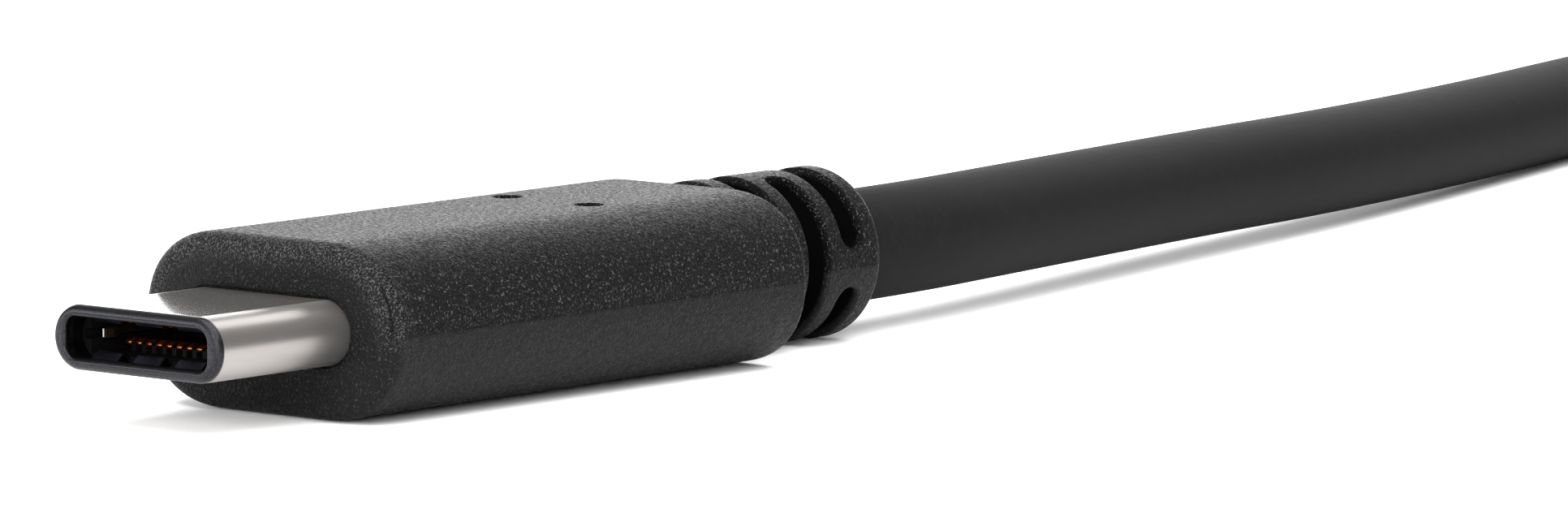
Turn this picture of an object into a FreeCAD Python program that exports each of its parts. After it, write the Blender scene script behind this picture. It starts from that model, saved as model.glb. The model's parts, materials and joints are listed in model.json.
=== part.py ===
import FreeCAD, Part
import math
import os

# Adapter cable: a small reversible plug in a moulded grip, a short round lead and a wide socket in a
# second moulded grip. Millimetres, +Z up. The origin lies under the middle of the plug's grip, on the
# surface that the cable lies on, and +X runs along the lead. Each end is first built in a frame of its
# own: X from its mouth towards the lead, Y across, Z up from the axis of its strain relief.

Vec = FreeCAD.Vector
ORIGIN = Vec(0, 0, 0)
ALONG = Vec(1, 0, 0)
ACROSS = Vec(0, 1, 0)
UP = Vec(0, 0, 1)

# Clearances
fit_gap = 0.02
seat_gap = 0.01

# Plug shell: a drawn stadium tube with its nose turned in
shell_width = 8.25
shell_height = 2.40
shell_wall = 0.28
shell_length = 8.60
nose_depth = 0.55
nose_side_lip = 0.70
nose_flat_lip = 0.45
nose_corner = 0.45
nose_outer_round = 0.28
nose_inner_chamfer = 0.12

# Plug insulator, its cavity for the mating tongue, and the combs between its contacts
insulator_front = 1.30
insulator_front_wall = 0.10
cavity_depth = 5.60
mating_tongue_width = 6.69
tongue_side_gap = 0.035
comb_front = 2.60
comb_height = 0.28
comb_play = 0.04

# Plug contacts, stamped strips in two rows
contact_count = 12
contact_pitch = 0.50
contact_width = 0.22
contact_sheet = 0.12
contact_tip = 1.80
contact_crest = 2.20
contact_ramp_end = 4.20
contact_crest_gap = 0.42
contact_tip_drop = 0.07
contact_step = shell_length - 0.90
contact_step_length = 0.60
contact_tail = shell_length + 1.80

# Latch plate
latch_sheet = 0.30
latch_rear_width = 6.60
latch_rear_start = 6.20
latch_arm_width = 0.27
latch_hook_reach = 2.92
latch_tip = 1.60
latch_channel_height = 0.40

# Ground springs above and below the mouth
spring_sheet = 0.09
spring_rear = 3.00
spring_plate_width = 5.80
spring_pad_count = 3
spring_pad_pitch = 2.05
spring_pad_width = 1.30
spring_pad_crest_x = 0.95
spring_pad_tip_x = 0.62
spring_pad_height = 0.27

# Rear shield of the plug, two halves
shield_front = shell_length - 1.30
shield_length = 10.30
shield_width = 9.70
shield_height = 4.80
shield_wall = 0.18

# Paddle card and the chips on it
card_start = shell_length + 0.15
card_length = 5.90
card_side_room = 0.47
card_width = shield_width - 2 * (shield_wall + card_side_room)
card_sheet = 0.80
chip_length = 1.00
chip_width = 0.50
resistor_height = 0.35
capacitor_height = 0.50
chip_x = card_start + 2.85
chip_y = 0.32 * card_width

# Cable and its parts
cable_diameter = 4.20
wire_landing = 1.50
wire_pocket_play = 0.20
wire_spread = 0.43 * card_width
power_wire_diameter = 0.84
fast_wire_diameter = 0.72
data_wire_diameter = 0.64
braid_sheet = 0.18
braid_length = 3.00
ferrule_sheet = 0.32
ferrule_length = 2.60
ferrule_setback = 0.40
jacket_strip = 0.60

# Strain relief, a slotted sleeve moulded in one piece with each grip
relief_diameter = 6.60
relief_length = 7.90
relief_neck_width = 0.55
relief_neck_depth = 0.45
relief_core_wall = 0.62
relief_slot_width = 0.95
relief_slot_pitch = 2.05
relief_slot_count = 3
relief_last_ring = 1.20
relief_bridge = 2.10
relief_end_chamfer = 0.35
relief_root = 1.00

# Plug grip
c_grip_front = 6.85
c_grip_rear = 30.00
c_grip_width = 12.20
c_grip_height = 6.60
c_grip_flat = 6.80
c_grip_corner = 2.40
c_grip_crown = 0.35
grip_front_chamfer = 0.30
grip_rear_chamfer = 0.15
grip_mouth_gap = 0.08
core_pin_diameter = 1.00
core_pin_depth = 0.90
core_pin_x = 22.40
core_pin_spacing = 4.08

# Socket shell
socket_inner_width = 12.50
socket_inner_height = 5.12
socket_wall = 0.30
socket_length = 16.50
socket_corner = 0.70
socket_mouth_chamfer = 0.18
finger_width = 2.00
finger_length = 6.00
finger_bend = 0.45
finger_slit = 0.35
finger_spacing = 0.448 * socket_inner_width
finger_end_before_base = -0.50

# Socket insulator with its tongue
socket_tongue_side_room = 0.85
socket_tongue_width = socket_inner_width - 2 * socket_tongue_side_room
socket_tongue_height = 1.84
socket_tongue_front = 1.00
socket_tongue_gap = 0.70
socket_base_depth = 7.00
socket_base_inset = 0.30
socket_base_front = socket_length - socket_base_depth
socket_base_rear = socket_length - socket_base_inset
tongue_chamfer = 0.35

# Socket contacts
wide_contact_width = 1.00
wide_contact_sheet = 0.20
wide_contact_inner = 1.00
wide_contact_outer = 3.50
wide_contact_crest = 4.80
wide_contact_tip = 3.80
wide_contact_lift = 0.75
wide_contact_rise = 0.10
narrow_contact_count = 5
narrow_contact_pitch = 2.00
narrow_contact_width = 0.60
narrow_contact_sheet = 0.15
narrow_pad_end = 2.80
narrow_lead_depth = 0.45
socket_tail_length = 0.80
socket_wire_spread = 0.37 * socket_inner_width
socket_solder = 0.14

# Rear cover of the socket
cover_reach = 7.10
cover_rear = socket_length + cover_reach
cover_wall = 0.20
cover_lap = 0.60

# Socket grip
a_grip_front = 0.35
a_grip_behind_cover = 3.40
a_grip_over_width = 3.70
a_grip_over_height = 3.28
a_grip_rounding = 6.20
a_grip_rear = cover_rear + a_grip_behind_cover
a_grip_width = socket_inner_width + a_grip_over_width
a_grip_height = socket_inner_height + a_grip_over_height
a_grip_flat = a_grip_width - a_grip_rounding
a_grip_corner = 2.90
a_grip_crown = 0.20

# Where the ends lie, and the route of the lead between them as corner points of the path
plug_tip_x = -18.50
lead_route = [
    (19.4, 0.0, 3.30),
    (24.2, 0.0, 3.30),
    (33.6, 1.9, 3.19),
    (49.5, 5.5, 2.90),
    (62.5, 8.3, 2.60),
    (78.0, 12.5, 2.29),
    (92.5, 16.7, 2.15),
    (109.0, 20.4, 2.12),
    (126.0, 22.2, 2.15),
    (141.5, 22.9, 2.90),
    (156.5, 23.0, 4.20),
    (166.2, 23.0, 4.20),
]


def box(x0, x1, y0, y1, z0, z1):
    """A box between two corners."""
    return Part.makeBox(x1 - x0, y1 - y0, z1 - z0, Vec(x0, y0, z0))


def centred_box(x0, x1, width, height, z_mid=0.0):
    """A box from x0 to x1, centred on the axis or on z_mid."""
    return box(x0, x1, -width / 2, width / 2, z_mid - height / 2, z_mid + height / 2)


def rod(x0, x1, radius, y=0.0, z=0.0):
    """A cylinder along X."""
    return Part.makeCylinder(radius, x1 - x0, Vec(x0, y, z), ALONG)


def sleeve(x0, x1, inner, outer):
    """A tube along X on the axis."""
    return rod(x0, x1, outer).cut(rod(x0, x1, inner))


def rounded_bar(x0, x1, width, height, corner):
    """A bar along X whose section is a rectangle with round corners."""
    bar = centred_box(x0, x1, width, height)
    long_edges = [e for e in bar.Edges if abs(e.tangentAt(e.FirstParameter).x) > 0.99]
    return bar.makeFillet(corner, long_edges)


def stadium_bar(x0, x1, width, height):
    """A bar along X whose section is a rectangle with semicircular ends."""
    radius = height / 2
    straight = width / 2 - radius
    middle = centred_box(x0, x1, 2 * straight, height)
    ends = [rod(x0, x1, radius, y=side * straight) for side in (-1, 1)]
    return middle.fuse(ends).removeSplitter()


def strip(points, sheet, y_mid, width):
    """A bent strip: a centre line of (x, z) points given its sheet thickness and width."""
    upper, lower = [], []
    last = len(points) - 1
    for i, (x, z) in enumerate(points):
        before = points[max(i - 1, 0)]
        after = points[min(i + 1, last)]
        turn_in = math.atan2(z - before[1], x - before[0]) if i > 0 else None
        turn_out = math.atan2(after[1] - z, after[0] - x) if i < last else None
        angle_in = turn_in if turn_in is not None else turn_out
        angle_out = turn_out if turn_out is not None else turn_in
        angle = (angle_in + angle_out) / 2
        reach = sheet / 2 / math.cos((angle_out - angle_in) / 2)
        dx, dz = -math.sin(angle) * reach, math.cos(angle) * reach
        upper.append(Vec(x + dx, y_mid - width / 2, z + dz))
        lower.append(Vec(x - dx, y_mid - width / 2, z - dz))
    outline = upper + lower[::-1]
    face = Part.Face(Part.makePolygon(outline + [outline[0]]))
    return face.extrude(Vec(0, width, 0))


def plate(outline, z0, sheet):
    """A flat plate: an outline of (x, y) points given its sheet thickness."""
    corners = [Vec(x, y, z0) for x, y in outline]
    return Part.Face(Part.makePolygon(corners + [corners[0]])).extrude(Vec(0, 0, sheet))


def rounded_path(points):
    """Straight runs joined by tangent arcs, with the radii that the runs allow."""
    corners = [Vec(*p) for p in points]
    edges, radii = [], []
    start = corners[0]
    for before, corner, after in zip(corners, corners[1:], corners[2:]):
        back = (before - corner).normalize()
        onward = (after - corner).normalize()
        half_turn = (math.pi - back.getAngle(onward)) / 2
        shorter = min(before.distanceToPoint(corner), after.distanceToPoint(corner))
        cut_back = 0.45 * shorter
        radius = cut_back / math.tan(half_turn)
        radii.append(radius)
        enter = corner + back * cut_back
        leave = corner + onward * cut_back
        bisector = (back + onward).normalize()
        to_centre = math.hypot(cut_back, radius)
        middle = corner + bisector * (to_centre - radius)
        edges.append(Part.LineSegment(start, enter).toShape())
        edges.append(Part.Arc(enter, middle, leave).toShape())
        start = leave
    edges.append(Part.LineSegment(start, corners[-1]).toShape())
    return Part.Wire(edges), radii


def round_tube(points, radius):
    """A solid round cord along a path of runs and arcs."""
    path, radii = rounded_path(points)
    heading = Vec(*points[1]) - Vec(*points[0])
    ring = Part.Wire(Part.makeCircle(radius, Vec(*points[0]), heading))
    tube = path.makePipeShell([ring], True, False)
    return tube, path.Length, radii


def union(shapes):
    """One shape of all the given ones."""
    return shapes[0].fuse(shapes[1:]).removeSplitter() if len(shapes) > 1 else shapes[0]


def group(shapes):
    """Separate solids kept side by side in one shape."""
    return Part.makeCompound(shapes)


def mirrored_z(shape):
    """The same shape on the other side of the middle plane."""
    return shape.mirror(ORIGIN, UP)


def contact_rows():
    """Centres of the plug's contacts across the mouth."""
    middle = (contact_count - 1) / 2
    return [(i - middle) * contact_pitch for i in range(contact_count)]


# Derived sizes of the plug
shell_inner_width = shell_width - 2 * shell_wall
shell_inner_height = shell_height - 2 * shell_wall
insulator_half = shell_inner_height / 2 - fit_gap
spring_outer = insulator_half
spring_middle = spring_outer - spring_sheet / 2
relieved_half = spring_outer - spring_sheet - seat_gap
cavity_half = relieved_half - insulator_front_wall
cavity_width = mating_tongue_width + 2 * tongue_side_gap
contact_base = cavity_half - contact_sheet / 2
contact_crest_z = (contact_crest_gap + contact_sheet) / 2
contact_tail_z = card_sheet / 2 + seat_gap + contact_sheet / 2
cable_radius = cable_diameter / 2
shield_rear = shield_front + shield_length
wire_land = card_start + card_length - wire_landing
jacket_start = shield_rear - jacket_strip
c_ferrule_start = shield_rear + ferrule_setback
c_relief_end = c_grip_rear + relief_length


def c_shell():
    """Plug shell: an outer stadium bar, hollowed behind a nose whose lip is turned in."""
    outer = stadium_bar(0, shell_length, shell_width, shell_height)
    nose_edges = [e for e in outer.Edges if max(v.X for v in e.Vertexes) < 1e-6]
    outer = outer.makeFillet(nose_outer_round, nose_edges)
    hollow = stadium_bar(nose_depth, shell_length + 1, shell_inner_width, shell_inner_height)
    mouth_width = shell_width - 2 * nose_side_lip
    mouth_height = shell_height - 2 * nose_flat_lip
    mouth = rounded_bar(-1, nose_depth + 0.1, mouth_width, mouth_height, nose_corner)
    shell = outer.cut(hollow).cut(mouth)
    rim_edges = [e for e in shell.Edges
                 if max(v.X for v in e.Vertexes) < 1e-6 and
                 max(abs(v.Z) for v in e.Vertexes) < mouth_height / 2 + 0.01]
    return shell.makeChamfer(nose_inner_chamfer, rim_edges)


def contact(y):
    """One lower contact: tip, crest, ramp, body, step and solder tail."""
    line = [
        (contact_tip, -contact_crest_z - contact_tip_drop),
        (contact_crest, -contact_crest_z),
        (contact_ramp_end, -contact_base),
        (contact_step, -contact_base),
        (contact_step + contact_step_length, -contact_tail_z),
        (contact_tail, -contact_tail_z),
    ]
    return strip(line, contact_sheet, y, contact_width)


def c_lower_contacts():
    """The lower row of contacts."""
    return group([contact(y) for y in contact_rows()])


def c_latch_plate():
    """Flat plate between the rows, with two arms that end in hooks inside the mouth."""
    outer = cavity_width / 2 + latch_arm_width + 0.04
    inner = outer - latch_arm_width
    half = latch_rear_width / 2
    side = [
        (shell_length, half),
        (latch_rear_start + 0.8, half),
        (latch_rear_start + 0.6, outer),
        (latch_tip + 1.0, outer),
        (latch_tip + 0.1, latch_hook_reach + latch_arm_width),
        (latch_tip, latch_hook_reach),
        (latch_tip + 0.45, latch_hook_reach),
        (latch_tip + 1.3, inner),
        (latch_rear_start, inner),
    ]
    other = [(x, -y) for x, y in side[::-1]]
    return plate(side + other, -latch_sheet / 2, latch_sheet)


def c_bottom_spring():
    """Ground spring: a thin plate below the insulator whose pads curl up behind the nose."""
    base = centred_box(insulator_front, spring_rear, spring_plate_width, spring_sheet, -spring_middle)
    crest = -spring_middle + spring_pad_height
    line = [
        (insulator_front + 0.3, -spring_middle),
        (insulator_front - 0.05, -spring_middle),
        (spring_pad_crest_x + 0.08, crest),
        (spring_pad_crest_x - 0.08, crest),
        (spring_pad_tip_x, -spring_middle + 0.05),
    ]
    middle = (spring_pad_count - 1) / 2
    pads = [strip(line, spring_sheet, (i - middle) * spring_pad_pitch, spring_pad_width)
            for i in range(spring_pad_count)]
    return union([base] + pads)


def c_insulator(contacts, latch):
    """Moulded block inside the shell: a frame round the mouth, combs between the contacts, a solid rear."""
    block_width = 2 * insulator_half + shell_inner_width - shell_inner_height
    block = stadium_bar(insulator_front, shell_length, block_width, 2 * insulator_half)
    relief_above = centred_box(0, spring_rear + fit_gap, shell_width, 1.0, relieved_half + 0.5)
    block = block.cut([relief_above, mirrored_z(relief_above)])
    block = block.cut(centred_box(0, cavity_depth, cavity_width, 2 * cavity_half))
    channel_width = cavity_width + 2 * latch_arm_width + 0.16
    block = block.cut(centred_box(0, latch_rear_start + 0.7, channel_width, latch_channel_height))
    comb_width = contact_pitch - contact_width - 2 * comb_play
    combs = []
    for left in contact_rows()[:-1]:
        y = left + contact_pitch / 2
        for side in (-1, 1):
            z0, z1 = sorted((side * (cavity_half + 0.02), side * (cavity_half - comb_height)))
            combs.append(box(comb_front, cavity_depth + 0.05, y - comb_width / 2, y + comb_width / 2, z0, z1))
    return block.fuse(combs).removeSplitter().cut([contacts, mirrored_z(contacts), latch])


def c_paddle_card():
    """Small circuit board between the contact tails."""
    return centred_box(card_start, card_start + card_length, card_width, card_sheet)


def chip(y, height):
    """A chip part on top of the card."""
    return box(chip_x, chip_x + chip_length, y - chip_width / 2, y + chip_width / 2,
               card_sheet / 2, card_sheet / 2 + height)


def c_shield_half():
    """Upper half of the rear shield: a tray with a notch for the shell and one for the cable."""
    outer = box(shield_front, shield_rear, -shield_width / 2, shield_width / 2, 0, shield_height / 2)
    inner = box(shield_front + shield_wall, shield_rear - shield_wall,
                -shield_width / 2 + shield_wall, shield_width / 2 - shield_wall,
                -1, shield_height / 2 - shield_wall)
    shell_notch = stadium_bar(0, shell_length + 1, shell_width + 2 * fit_gap, shell_height + 2 * fit_gap)
    cable_notch = rod(shield_rear - 1, shield_rear + 1, cable_radius + fit_gap)
    return outer.cut([inner, shell_notch, cable_notch])


def wire(jacket_x, land_x, start, landing, diameter):
    """One insulated wire, straight from the stripped jacket to where it is soldered, cut square at both ends."""
    foot = Vec(jacket_x, *start)
    head = Vec(land_x, *landing)
    run = head - foot
    overlap = run * (diameter / run.Length)
    core = Part.makeCylinder(diameter / 2, run.Length + 2 * diameter, foot - overlap, run)
    reach = 4 * shield_width
    return core.common(box(land_x, jacket_x, -reach, reach, -reach, reach))


def wire_set(prefix, jacket_x, land_x, top_z, bottom_z, spread):
    """All wires of one end, by name. Each keeps to its own side of the landing; spread is its half width."""
    power = power_wire_diameter
    fast = fast_wire_diameter
    data = data_wire_diameter

    def single(start, landing, diameter):
        """One wire from its place in the jacket to its landing."""
        return wire(jacket_x, land_x, start, landing, diameter)

    def pair_of(start, landing, diameter):
        """Two wires side by side, mirrored to the left and right."""
        return group([single((side * start[0], start[1]), (side * landing[0], landing[1]), diameter)
                      for side in (-1, 1)])

    power_top = top_z + power / 2
    data_bottom = bottom_z - data / 2
    return {
        prefix + "red_wire": single((-1.32, 0.86), (-0.80 * spread, power_top), power),
        prefix + "black_wire": single((1.32, 0.86), (0.80 * spread, power_top), power),
        prefix + "first_fast_pair": pair_of((0.40, 0.90), (0.26 * spread, top_z + fast / 2), fast),
        prefix + "green_wire": single((-0.36, -0.76), (-0.18 * spread, data_bottom), data),
        prefix + "white_wire": single((0.36, -0.76), (0.18 * spread, data_bottom), data),
        prefix + "second_fast_pair": pair_of((1.14, -0.80), (0.60 * spread, bottom_z - fast / 2), fast),
    }


def wire_pocket(land_x, jacket_x, spread, above, below):
    """Room in an inner mould for the wires, whose solder joints are at the heights above and below."""
    side = spread + power_wire_diameter / 2 + wire_pocket_play
    room = power_wire_diameter + wire_pocket_play
    return box(land_x - wire_pocket_play, jacket_x + fit_gap, -side, side, below - room, above + room)


def cable_end_parts(prefix, jacket_x, ferrule_x, relief_end):
    """Jacket end, folded braid and crimp ferrule of one end, by name."""
    braid_in = cable_radius + seat_gap
    braid_out = braid_in + braid_sheet
    ferrule_in = braid_out + seat_gap
    return {
        prefix + "jacket_end": rod(jacket_x, relief_end, cable_radius),
        prefix + "braid": sleeve(ferrule_x, ferrule_x + braid_length, braid_in, braid_out),
        prefix + "crimp_ferrule": sleeve(ferrule_x + 0.1, ferrule_x + 0.1 + ferrule_length,
                                         ferrule_in, ferrule_in + ferrule_sheet),
    }


def grip_section(x, width, height, flat, corner):
    """Closed outline across X: flats above and below, round corners, and sides that bow out between them."""
    half_height = height / 2
    corner_mid = flat / 2
    bow_angle = 2 * math.atan((width / 2 - corner_mid - corner) / (half_height - corner))
    bow = corner + (half_height - corner) / math.sin(bow_angle)
    bow_mid = width / 2 - bow
    half_turn = (bow_angle + math.pi / 2) / 2

    def on_corner(side, level, angle):
        return Vec(x, side * (corner_mid + corner * math.cos(angle)),
                   level * (half_height - corner + corner * math.sin(angle)))

    def on_bow(side, level, angle):
        return Vec(x, side * (bow_mid + bow * math.cos(angle)), level * bow * math.sin(angle))

    edges = []
    for side in (1, -1):
        edges.append(Part.Arc(on_bow(side, -1, bow_angle), on_bow(side, 1, 0), on_bow(side, 1, bow_angle)))
        for level in (1, -1):
            edges.append(Part.Arc(on_corner(side, level, bow_angle), on_corner(side, level, half_turn),
                                  on_corner(side, level, math.pi / 2)))
    for level in (1, -1):
        z = level * half_height
        edges.append(Part.LineSegment(Vec(x, -corner_mid, z), Vec(x, corner_mid, z)))
    return Part.Wire(Part.sortEdges([e.toShape() for e in edges])[0])


def grip_block(front, rear, width, height, flat, corner, crown):
    """Grip body: the section carried along X, its front crowned in plan, its end edges broken."""
    block = Part.Face(grip_section(front, width, height, flat, corner)).extrude(Vec(rear - front, 0, 0))
    crown_radius = ((width / 2) ** 2 + crown ** 2) / (2 * crown)
    centre = Vec(front + crown_radius, 0, -height)
    crown_tool = Part.makeCylinder(crown_radius, 2 * height, centre, UP)
    crown_tool.rotate(centre, UP, 90)
    block = block.common(crown_tool)
    rear_edges = [e for e in block.Edges if min(v.X for v in e.Vertexes) > rear - 0.01]
    block = block.makeChamfer(grip_rear_chamfer, rear_edges)
    front_edges = [e for e in block.Edges if max(v.X for v in e.Vertexes) < front + crown + 0.01]
    return block.makeChamfer(grip_front_chamfer, front_edges)


def relief_sleeve(rear):
    """The strain relief before it is slotted: a turned sleeve with a neck and a broken end edge."""
    outer = relief_diameter / 2
    neck = outer - relief_neck_depth
    low = cable_radius + fit_gap
    ring_start = rear + relief_neck_width
    end = rear + relief_length
    profile = [
        (rear - relief_root, low),
        (rear - relief_root, neck),
        (ring_start, neck),
        (ring_start, outer),
        (end - relief_end_chamfer, outer),
        (end, outer - relief_end_chamfer),
        (end, low),
    ]
    corners = [Vec(x, 0, r) for x, r in profile]
    return Part.Face(Part.makePolygon(corners + [corners[0]])).revolve(ORIGIN, ALONG, 360)


def relief_slot(x_mid, turned):
    """One pair of opposite slots, rounded at their ends, that leave two bridges and the inner sleeve."""
    outer = relief_diameter / 2
    half = relief_slot_width / 2
    core = rod(x_mid - half - 1, x_mid + half + 1, cable_radius + fit_gap + relief_core_wall)
    z_end = relief_bridge / 2 + half
    rounding = Part.makeCylinder(half, 4 * outer, Vec(x_mid, -2 * outer, z_end), ACROSS)
    window = box(x_mid - half, x_mid + half, -2 * outer, 2 * outer, z_end, 2 * outer)
    upper = window.fuse(rounding).removeSplitter().cut(core)
    pair = group([upper, mirrored_z(upper)])
    if turned:
        pair.rotate(ORIGIN, ALONG, 90)
    return pair


def strain_relief(rear):
    """Slotted sleeve behind a grip: slots above and below alternate with slots at the sides."""
    last = rear + relief_length - relief_last_ring - relief_slot_width / 2
    slots = [relief_slot(last - i * relief_slot_pitch, i % 2 == 1) for i in range(relief_slot_count)]
    return relief_sleeve(rear).cut(slots)


def core_pin_holes():
    """Blind holes that the mould's core pins leave above and below the lead's entry."""
    holes = []
    for y in (-core_pin_spacing / 2, core_pin_spacing / 2):
        for z in (c_grip_height / 2 - core_pin_depth, -c_grip_height / 2 - 1):
            foot = Vec(core_pin_x, y, z)
            holes.append(Part.makeCylinder(core_pin_diameter / 2, core_pin_depth + 1, foot, UP))
    return holes


def cable_bore(jacket_x, ferrule_x, relief_end):
    """The room that a grip leaves for the jacket, the braid and the ferrule."""
    ferrule_out = cable_radius + 2 * seat_gap + braid_sheet + ferrule_sheet + fit_gap
    return [
        rod(jacket_x, relief_end + 1, cable_radius + fit_gap),
        rod(ferrule_x - fit_gap, ferrule_x + braid_length + fit_gap, ferrule_out),
    ]


def c_grip():
    """Plug grip with its strain relief, hollow round the shell, the shield and the cable's end."""
    body = grip_block(c_grip_front, c_grip_rear, c_grip_width, c_grip_height,
                      c_grip_flat, c_grip_corner, c_grip_crown)
    body = body.fuse(strain_relief(c_grip_rear)).removeSplitter()
    shell_room = stadium_bar(0, shield_front + 0.1, shell_width + 2 * grip_mouth_gap,
                             shell_height + 2 * grip_mouth_gap)
    shield_room = centred_box(shield_front - fit_gap, shield_rear + fit_gap,
                              shield_width + 2 * fit_gap, shield_height + 2 * fit_gap)
    tools = [shell_room, shield_room] + core_pin_holes()
    tools += cable_bore(shield_rear, c_ferrule_start, c_relief_end)
    return body.cut(tools)


def c_end():
    """All pieces of the plug end, by name, in the plug's own frame."""
    lower = c_lower_contacts()
    latch = c_latch_plate()
    card = c_paddle_card()
    shield = c_shield_half()
    card_skin = card_sheet / 2 + seat_gap
    wires = wire_set("c_", jacket_start, wire_land, card_skin, -card_skin, wire_spread)
    parts = {
        "c_shell": c_shell(),
        "c_insulator": c_insulator(lower, latch),
        "c_lower_contacts": lower,
        "c_upper_contacts": mirrored_z(lower),
        "c_latch_plate": latch,
        "c_bottom_spring": c_bottom_spring(),
        "c_top_spring": mirrored_z(c_bottom_spring()),
        "c_paddle_card": card,
        "c_pulldown_resistor": chip(-chip_y, resistor_height),
        "c_bypass_capacitor": chip(chip_y, capacitor_height),
        "c_top_shield": shield,
        "c_bottom_shield": mirrored_z(shield),
    }
    parts.update(wires)
    parts.update(cable_end_parts("c_", jacket_start, c_ferrule_start, c_relief_end))
    inset = shield_wall + fit_gap
    mould = centred_box(shield_front + inset, shield_rear - inset,
                        shield_width - 2 * inset, shield_height - 2 * inset)
    shell_room = stadium_bar(0, shell_length + fit_gap, shell_width + 2 * fit_gap,
                             shell_height + 2 * fit_gap)
    inside = [shell_room, card, lower, parts["c_upper_contacts"]]
    inside += [parts["c_pulldown_resistor"], parts["c_bypass_capacitor"]]
    inside.append(wire_pocket(wire_land, jacket_start, wire_spread, card_skin, -card_skin))
    inside.append(rod(jacket_start, shield_rear, cable_radius + fit_gap))
    parts["c_inner_mould"] = mould.cut(inside)
    parts["c_grip"] = c_grip()
    return parts


# Derived sizes of the socket
finger_start = socket_base_front - finger_end_before_base - finger_length
socket_outer_width = socket_inner_width + 2 * socket_wall
socket_outer_height = socket_inner_height + 2 * socket_wall
tongue_top = socket_inner_height / 2 - socket_tongue_gap
tongue_bottom = tongue_top - socket_tongue_height
a_jacket_start = cover_rear - jacket_strip
a_ferrule_start = cover_rear + ferrule_setback
a_relief_end = a_grip_rear + relief_length


def finger(y):
    """One spring finger in the socket's roof: its slot, and the strip bent inwards from its rear end."""
    z = (socket_inner_height + socket_wall) / 2
    x1 = finger_start + finger_length
    slot_half = finger_width / 2 + finger_slit
    slot = box(finger_start - finger_slit, x1, y - slot_half, y + slot_half, z - socket_wall, z + socket_wall)
    line = [
        (finger_start, z - 0.4 * finger_bend),
        (finger_start + 0.25 * finger_length, z - finger_bend),
        (x1 - 0.15 * finger_length, z),
        (x1 + 0.2, z),
    ]
    return slot, strip(line, socket_wall, y, finger_width)


def a_shell():
    """Socket shell: a rectangular tube with two spring fingers above and two below."""
    outer = rounded_bar(0, socket_length, socket_outer_width, socket_outer_height, socket_corner)
    inner = rounded_bar(-1, socket_length + 1, socket_inner_width, socket_inner_height,
                        socket_corner - socket_wall)
    shell = outer.cut(inner)
    rim = [e for e in shell.Edges if max(v.X for v in e.Vertexes) < 1e-6 and
           max(abs(v.Y) for v in e.Vertexes) < socket_inner_width / 2 + 0.01 and
           max(abs(v.Z) for v in e.Vertexes) < socket_inner_height / 2 + 0.01]
    shell = shell.makeChamfer(socket_mouth_chamfer, rim)
    slots, strips = [], []
    for y in (-finger_spacing / 2, finger_spacing / 2):
        slot, bent = finger(y)
        slots += [slot, mirrored_z(slot)]
        strips += [bent, mirrored_z(bent)]
    return shell.cut(slots).fuse(strips).removeSplitter()


def wide_contact(y):
    """One wide spring contact below the tongue, with its body and its solder tail."""
    z = tongue_bottom + wide_contact_rise - wide_contact_sheet / 2
    low = tongue_bottom - wide_contact_lift
    line = [
        (wide_contact_tip, z - 0.25),
        (wide_contact_crest, low),
        (socket_base_front - 0.6, z),
        (socket_base_rear + socket_tail_length, z),
    ]
    return strip(line, wide_contact_sheet, y, wide_contact_width)


def narrow_contact(y):
    """One narrow contact: a pad at the tongue's front edge, a lead inside the tongue, a solder tail."""
    pad_z = tongue_bottom + narrow_contact_sheet / 2 - 0.03
    lead_z = tongue_top - narrow_lead_depth
    line = [
        (socket_tongue_front + 0.4, pad_z),
        (narrow_pad_end, pad_z),
        (narrow_pad_end + 0.6, lead_z),
        (socket_base_rear + socket_tail_length, lead_z),
    ]
    return strip(line, narrow_contact_sheet, y, narrow_contact_width)


def a_insulator(contacts):
    """Socket insulator: a block that closes the tube and a tongue with a chamfered front edge."""
    base = rounded_bar(socket_base_front, socket_base_rear, socket_inner_width - 2 * fit_gap,
                       socket_inner_height - 2 * fit_gap, socket_corner - socket_wall)
    tongue_half = socket_tongue_width / 2
    tongue = box(socket_tongue_front, socket_base_front + 0.5, -tongue_half, tongue_half,
                 tongue_bottom, tongue_top)
    front_edges = [e for e in tongue.Edges if max(v.X for v in e.Vertexes) < socket_tongue_front + 1e-6 and
                   abs(e.tangentAt(e.FirstParameter).y) > 0.99]
    tongue = tongue.makeChamfer(tongue_chamfer, front_edges)
    finger_room = []
    for y in (-finger_spacing / 2, finger_spacing / 2):
        for bent in (finger(y)[1], mirrored_z(finger(y)[1])):
            limits = bent.BoundBox
            finger_room.append(box(socket_base_front - 0.1, limits.XMax + 0.1, y - finger_width / 2 - 0.1,
                                   y + finger_width / 2 + 0.1, limits.ZMin - 0.05, limits.ZMax + 0.05))
    return base.fuse(tongue).removeSplitter().cut(finger_room).cut(contacts)


def a_rear_cover():
    """Drawn metal cap behind the socket: it laps over the shell's end and closes round the cable."""
    front = socket_length - cover_lap
    width = socket_outer_width + 2 * (fit_gap + cover_wall)
    height = socket_outer_height + 2 * (fit_gap + cover_wall)
    outer = rounded_bar(front, cover_rear, width, height, socket_corner + cover_wall)
    inner = rounded_bar(front - 1, cover_rear - cover_wall, width - 2 * cover_wall, height - 2 * cover_wall,
                        socket_corner)
    return outer.cut([inner, rod(cover_rear - 1, cover_rear + 1, cable_radius + fit_gap)])


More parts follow.
